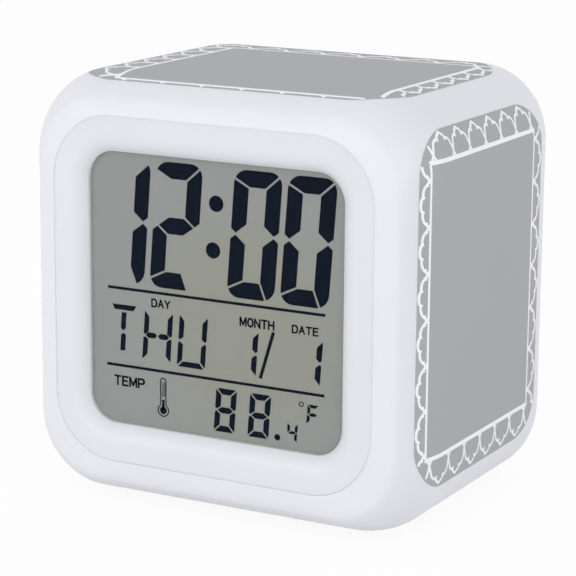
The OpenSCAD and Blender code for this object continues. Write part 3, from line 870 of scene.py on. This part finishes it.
# Angles at which the strokes of a sign are cut apart at its corners
EVEN_CUTS = (45, 135, 225, 315)
TIME_CUTS = (42, 160, 200, 288)
DAY_CUTS = (60, 120, 225, 315)
# Strokes that each sign is made of
STROKES = {
    "0": "abcdef", "1": "bc", "2": "abged", "4": "fgbc", "8": "abcdefg",
    "F": "afeg", "H": "bcef", "U": "bcdef",
}


def seven_segments(w, h, s, gap, r, cuts):
    """Outlines of the seven strokes of a digit round its middle, named a to g."""
    x, z = w / 2, h / 2
    k = 0.65 * gap
    e = gap / 2
    turn = math.degrees(e / r)
    tip = 0.32 * s

    def corner(c, first, last):
        sx, sz = CORNERS[c]
        return arc(sx * (x - r), sz * (z - r), r, first, last, 6)

    right, left, low_left, low_right = cuts
    side = [(x, e + tip * 0.8), (x - tip, e), (x - s, e + (s - tip) * 0.8), (x - s, z - s - k)]
    flipped = [(-u, v) for u, v in side]
    bar = [(-x + s + k, z - s), (x - s - k, z - s)]
    m = gap * 0.6
    dash = [(-x + tip + m, 0), (-x + s + m, s / 2), (x - s - m, s / 2)]
    return {
        "a": corner(0, 90, right + turn)[::-1] + corner(1, 90, left - turn) + bar,
        "b": corner(0, right - turn, 0) + side,
        "c": corner(3, low_right + turn, 360) + [(u, -v) for u, v in side],
        "d": corner(2, low_left + turn, 270) + corner(3, 270, low_right - turn)
        + [(u, -v) for u, v in reversed(bar)],
        "e": corner(2, low_left - turn, 180) + [(u, -v) for u, v in flipped],
        "f": corner(1, left + turn, 180) + flipped,
        "g": dash + [(-u, -v) for u, v in dash],
    }


def bowl(first, last):
    """Half of a letter's bowl, as shares of its width and height."""
    half = (last - first) / 2
    return [(0.62 + 0.38 * u, (first + last) / 2 + half * v) for u, v in arc(0, 0, 1, -90, 90, 8)]


# Strokes of the letters as shares of their width and height
LETTERS = {
    "A": ([(0, 0), (0.5, 1), (1, 0)], [(0.2, 0.34), (0.8, 0.34)]),
    "D": ([(0, 0), *bowl(0, 1), (0, 1), (0, 0)],),
    "E": ([(1, 1), (0, 1), (0, 0), (1, 0)], [(0, 0.52), (0.85, 0.52)]),
    "H": ([(0, 0), (0, 1)], [(1, 0), (1, 1)], [(0, 0.52), (1, 0.52)]),
    "M": ([(0, 0), (0, 1), (0.5, 0.15), (1, 1), (1, 0)],),
    "N": ([(0, 0), (0, 1), (1, 0), (1, 1)],),
    "O": (arc(0.5, 0.5, 0.5, 0, 360, 20),),
    "P": ([(0, 0), (0, 1), *reversed(bowl(0.45, 1)), (0, 0.45)],),
    "T": ([(0, 1), (1, 1)], [(0.5, 1), (0.5, 0)]),
    "Y": ([(0, 1), (0.5, 0.48), (1, 1)], [(0.5, 0.48), (0.5, 0)]),
}
# Letters wider or narrower than the others, and the space between letters
LETTER_SHARES = {"M": 1.15, "E": 0.9}
LETTER_SPACE = 0.42


class Pen:
    """Draws on the display, in millimetres from its middle."""

    def __init__(self, sizes, middle):
        self.sizes, self.middle, self.shape = sizes, middle, Shape()

    def place(self, x, z, lift):
        """A point of the drawing in the clock's frame."""
        sizes = self.sizes
        return x * MM + sizes.shift_x, sizes.image_y - lift, self.middle + sizes.shift_z + z * MM

    def plate(self, outline):
        """One upright plate."""
        lifts = (0.0, self.sizes.image_t)
        self.shape.rings([[self.place(u, v, lift) for u, v in outline] for lift in lifts], False)

    def stroke(self, cx, cz, outline):
        """One slanted plate round a middle."""
        self.plate([(cx + u + self.sizes.slant * v, cz + v) for u, v in outline])

    def dot(self, cx, cz, r):
        """A round dot."""
        self.plate(circle(cx, cz, r))

    def line(self, path, width):
        """A plain line."""
        self.shape.ribbon(path, width, self.place, 0.0, self.sizes.image_t)

    def sign(self, sign, cx, cz, w, h, s, gap, r, cuts=EVEN_CUTS):
        """One slanted digit or letter round a middle, of a width, a height and a stroke."""
        strokes = seven_segments(w, h, s, gap, r, cuts)
        for name in STROKES[sign]:
            self.stroke(cx, cz, strokes[name])

    def word(self, word, x, z, wide, high):
        """A plain printed word of a given width and height."""
        weight = 0.18 * high
        shares = [LETTER_SHARES.get(sign, 1.0) for sign in word]
        unit = (wide - weight) / (sum(shares) + LETTER_SPACE * (len(word) - 1))
        left, foot, tall = x + weight / 2, z + weight / 2, high - weight
        for sign, share in zip(word, shares):
            for path in LETTERS[sign]:
                points = [(left + u * share * unit, foot + v * tall) for u, v in path]
                for a, b in zip(points, points[1:]):
                    du, dv = b[0] - a[0], b[1] - a[1]
                    k = 0.4 * weight / math.hypot(du, dv)
                    self.line([(a[0] - k * du, a[1] - k * dv), (b[0] + k * du, b[1] + k * dv)], weight)
            left += (share + LETTER_SPACE) * unit


def time_digits(pen):
    """The large hours and minutes with their colon."""
    w, h, s = (size / MM for size in (pen.sizes.digit_w, pen.sizes.digit_h, pen.sizes.digit_stroke))
    for sign, cx in (("1", -19.25), ("2", -8.58), ("0", 7.35), ("0", 18.0)):
        pen.sign(sign, cx, 12.4, w, h, s, 0.42, 2.5, TIME_CUTS)
    pen.dot(-0.35, 17.3, 1.45)
    pen.dot(-0.98, 8.9, 1.45)


def calendar_line(pen):
    """The day letters, the month and the date."""
    pen.stroke(-19.55, -3.65, [(-2.55, 0.5), (2.55, 0.5), (2.0, -0.45), (-2.0, -0.45)])
    pen.stroke(-19.68, -6.15, [(-0.5, 1.6), (0.5, 1.6), (0.5, -1.35), (0, -1.75), (-0.5, -1.35)])
    pen.stroke(-19.83, -10.05, [(-0.5, 1.3), (0, 1.7), (0.5, 1.3), (0.5, -1.6), (-0.5, -1.6)])
    pen.sign("H", -12.5, -8.2, 5.9, 9.3, 1.0, 0.35, 0.5, DAY_CUTS)
    dash = [(-1.15, 0), (-0.7, 0.5), (0.7, 0.5), (1.15, 0), (0.7, -0.5), (-0.7, -0.5)]
    for cx in (-13.82, -11.25):
        pen.stroke(cx, -8.1, dash)
    pen.sign("U", -5.25, -8.25, 5.8, 9.6, 1.0, 0.35, 0.5, DAY_CUTS)
    pen.sign("1", 5.2, -8.8, 5.6, 8.35, 1.05, 0.42, 0.5)
    pen.line([(11.25, -4.4), (8.65, -13.05)], 0.62)
    pen.sign("1", 17.95, -8.85, 5.6, 8.4, 1.1, 0.42, 0.5)


def temperature_line(pen):
    """The small thermometer and the temperature."""
    for cx in (1.56, 8.49):
        pen.sign("8", cx, -19.95, 4.2, 8.0, 1.1, 0.3, 0.5)
    pen.dot(12.15, -23.3, 0.58)
    pen.sign("4", 15.1, -22.05, 2.0, 3.5, 0.5, 0.18, 0.25)
    pen.sign("F", 19.15, -18.25, 2.25, 3.6, 0.58, 0.18, 0.25)
    pen.line(arc(16.9, -16.6, 0.4, 0, 360, 24), 0.17)
    x, top, bulb = -11.35, -16.3, -21.75
    pen.line(arc(x, top, 0.55, 0, 180, 10) + arc(x, bulb, 1.1, 120, 420, 30) + [(x + 0.55, top)], 0.2)
    pen.dot(x, bulb, 0.7)
    pen.line([(x, bulb), (x, -19.75)], 0.5)
    for k in range(9):
        z = top - 0.3 - 0.31 * k
        pen.line([(x - 0.28, z), (x + 0.5, z)], 0.13)


def rule_lines(pen):
    """The two long rules across the display."""
    pen.line([(-22.95, -0.12), (21.4, -0.12)], 0.5)
    pen.line([(-23.3, -14.5), (21.4, -14.5)], 0.5)


def display_labels(pen):
    """The printed words over the calendar and the temperature."""
    pen.word("DAY", -13.8, -2.85, 4.0, 1.6)
    pen.word("MONTH", 4.42, -4.1, 7.0, 1.75)
    pen.word("DATE", 14.85, -4.06, 5.3, 1.55)
    pen.word("TEMP", -21.8, -18.35, 6.55, 1.95)


class CLOCK_OT_controls(bpy.types.Operator):
    """Dress the rear buttons and the light switch"""

    bl_idname = "clock.controls"
    bl_label = "Controls"

    def execute(self, context):
        buttons = ("mode", "set", "up", "down")
        plastic = moulded("button_plastic", (0.70, 0.70, 0.72), rough=(0.4, 0.5))
        dress(plastic, *("button_" + name for name in buttons), "light_slider")
        dress(moulded("plunger_ivory", (0.62, 0.58, 0.48)), *("plunger_" + name for name in buttons))
        return {"FINISHED"}


class CLOCK_OT_inside(bpy.types.Operator):
    """Dress the boards, the cells and the other parts inside"""

    bl_idname = "clock.inside"
    bl_label = "Inside"

    def execute(self, context):
        foam = moulded("foam_grey", (0.25, 0.25, 0.26), rough=(0.85, 0.95), vary=0.6, bump=0.4)
        led = moulded("led_clear", (0.75, 0.73, 0.62), rough=(0.1, 0.2), clear=0.6)
        epoxy = moulded("epoxy_black", (0.012, 0.012, 0.012), rough=(0.2, 0.35), vary=0.6)
        ribbon = striped("ribbon_grey", (0.36, 0.36, 0.37), (0.22, 0.22, 0.23), 247.0)
        steel = metal("screw_steel", (0.55, 0.55, 0.56))
        dress(foam, "lcd_gasket")
        dress(moulded("frame_white", (0.72, 0.72, 0.73)), "lcd_holder")
        dress(moulded("guide_clear", (0.78, 0.80, 0.82), rough=(0.1, 0.2), clear=0.7), "light_guide")
        dress(led, "backlight_leds", "color_leds")
        dress(striped("zebra_rubber", (0.5, 0.3, 0.34), (0.05, 0.04, 0.045), 785.0), "zebra_strip")
        dress(circuit(), "main_board", "key_board", "switch_board")
        dress(epoxy, "chip_blob", "buzzer")
        dress(moulded("bead_blue", (0.05, 0.12, 0.35), rough=(0.2, 0.3), vary=0.8), "thermistor")
        dress(capped(), "capacitor")
        dress(moulded("switch_black", (0.02, 0.02, 0.02), vary=0.7), "tact_switches", "slide_switch")
        for name, nub in (("cell_1", 1), ("cell_2", -1), ("cell_3", 1)):
            dress(banded_cell("jacket_of_" + name, nub), name)
        dress(moulded("wire_red", (0.45, 0.02, 0.02), vary=0.85), "battery_wire_red")
        dress(moulded("wire_black", (0.015, 0.015, 0.015), vary=0.7), "battery_wire_black")
        dress(ribbon, "key_ribbon", "switch_ribbon")
        dress(metal("can_metal", (0.7, 0.69, 0.66)), "crystal")
        dress(metal("contact_nickel", (0.72, 0.69, 0.63)), "battery_plates", "battery_springs")
        dress(steel, "board_screws", "rear_cover_screws", "small_screws")
        return {"FINISHED"}


def striped(name, first, second, scale):
    """Rubber or cable with fine stripes across the clock."""
    finish, tree, shader = new_finish(name)
    wave = add_node(tree, "TexWave", {"Vector": own_place(tree), "Scale": scale}).outputs["Fac"]
    feed(tree, shader, {
        "Base Color": two_tone(tree, wave, first, second),
        "Roughness": ranged(tree, grain(tree, 1500.0), (0.5, 0.7)),
        "Normal": relief(tree, wave, 0.2, 0.00006),
    })
    return finish


def circuit():
    """Green board with fine tracks under its varnish and bright pads."""
    finish, tree, shader = new_finish("board_green")
    place = own_place(tree)
    turn = add_node(tree, "Mapping", {"Vector": place, "Rotation": (math.radians(90), 0.0, 0.0)})
    tracks = add_node(tree, "TexBrick", {
        "Vector": turn.outputs["Vector"],
        "Scale": 220.0,
        "Mortar Size": 0.03,
        "Color1": (0.012, 0.12, 0.045, 1.0),
        "Color2": (0.016, 0.14, 0.052, 1.0),
        "Mortar": (0.03, 0.22, 0.09, 1.0),
    })
    pads = add_node(tree, "TexVoronoi", {"Vector": place, "Scale": 260.0})
    round_pad = math_node(tree, "LESS_THAN", pads.outputs["Distance"], 0.16)
    tones = {"Factor": round_pad, "A": tracks.outputs["Color"], "B": (0.6, 0.58, 0.52, 1.0)}
    mix = add_node(tree, "Mix", tones, data_type="RGBA")
    feed(tree, shader, {
        "Base Color": mix.outputs["Result"],
        "Metallic": round_pad,
        "Roughness": ranged(tree, grain(tree, 800.0), (0.22, 0.36)),
    })
    return finish


def capped():
    """Shrunk blue sleeve with a bare metal end towards the back."""
    finish, tree, shader = new_finish("sleeve_blue")
    facing = add_node(tree, "NewGeometry").outputs["Normal"]
    split = add_node(tree, "SeparateXYZ", {"Vector": facing})
    bare = math_node(tree, "GREATER_THAN", split.outputs["Y"], 0.8)
    feed(tree, shader, {
        "Base Color": two_tone(tree, bare, (0.02, 0.03, 0.11), (0.7, 0.7, 0.7)),
        "Metallic": bare,
        "Roughness": ranged(tree, grain(tree, 700.0), (0.25, 0.4)),
    })
    return finish


# Bands of a cell from its flat end: where each begins and ends, its colour and whether it is bare
BARE, PRINTED = (1.0, 1.0, 1.0), (0.0, 0.0, 0.0)
CELL_BANDS = (
    (0.0, 0.012, (0.7, 0.69, 0.66), BARE),
    (0.012, 0.86, (0.035, 0.07, 0.16), PRINTED),
    (0.86, 0.955, (0.5, 0.51, 0.53), PRINTED),
    (0.955, 0.974, (0.6, 0.6, 0.58), PRINTED),
    (0.974, 1.0, (0.7, 0.69, 0.66), BARE),
)


def banded_cell(name, nub):
    """Jacket of a plain dry cell with bare metal ends; its nub points right, or left where nub is -1."""
    finish, tree, shader = new_finish(name)
    place = add_node(tree, "TexCoord").outputs["Generated"]
    along = add_node(tree, "SeparateXYZ", {"Vector": place}).outputs["X"]
    bands = CELL_BANDS
    if nub < 0:
        bands = [(1 - end, 1 - begin, *look) for begin, end, *look in reversed(CELL_BANDS)]
    for socket, pick in (("Base Color", 2), ("Metallic", 3)):
        ramp = add_node(tree, "ValToRGB", {"Fac": along})
        ramp.color_ramp.interpolation = "CONSTANT"
        while len(ramp.color_ramp.elements) < len(bands):
            ramp.color_ramp.elements.new(0.5)
        for element, band in zip(ramp.color_ramp.elements, bands):
            element.position = band[0]
            element.color = (*band[pick], 1.0)
        feed(tree, shader, {socket: ramp.outputs["Color"]})
    feed(tree, shader, {"Roughness": ranged(tree, grain(tree, 500.0), (0.22, 0.34))})
    return finish


OPERATORS = (
    CLOCK_OT_stage, CLOCK_OT_case, CLOCK_OT_bezel, CLOCK_OT_panels, CLOCK_OT_display, CLOCK_OT_controls,
    CLOCK_OT_inside,
)
GROUPS = {
    "clock_case": CaseSizes,
    "clock_bezel": BezelSizes,
    "clock_panel": PanelSizes,
    "clock_display": DisplaySizes,
    "clock_colours": ClockColours,
    "clock_stage": StageSizes,
}


class CLOCK_PT_sidebar(bpy.types.Panel):
    """Lists the clock's pieces, sizes and colours"""

    bl_idname = "CLOCK_PT_sidebar"
    bl_label = "Desk clock"
    bl_space_type = "VIEW_3D"
    bl_region_type = "UI"
    bl_category = "Clock"

    def draw(self, context):
        for operator in OPERATORS:
            self.layout.operator(operator.bl_idname)
        for name, group in GROUPS.items():
            box = self.layout.box()
            for prop in group.__annotations__:
                box.prop(getattr(context.scene, name), prop)


def register():
    for name, group in GROUPS.items():
        bpy.utils.register_class(group)
        setattr(bpy.types.Scene, name, bpy.props.PointerProperty(type=group))
    for cls in (*OPERATORS, CLOCK_PT_sidebar):
        bpy.utils.register_class(cls)


def unregister():
    for cls in reversed((*OPERATORS, CLOCK_PT_sidebar)):
        bpy.utils.unregister_class(cls)
    for name, group in reversed(GROUPS.items()):
        delattr(bpy.types.Scene, name)
        bpy.utils.unregister_class(group)


def main():
    register()
    bpy.ops.clock.stage()
    bpy.ops.clock.case()
    bpy.ops.clock.bezel()
    bpy.ops.clock.panels()
    bpy.ops.clock.display()
    bpy.ops.clock.controls()
    bpy.ops.clock.inside()


if __name__ == "__main__":
    main()
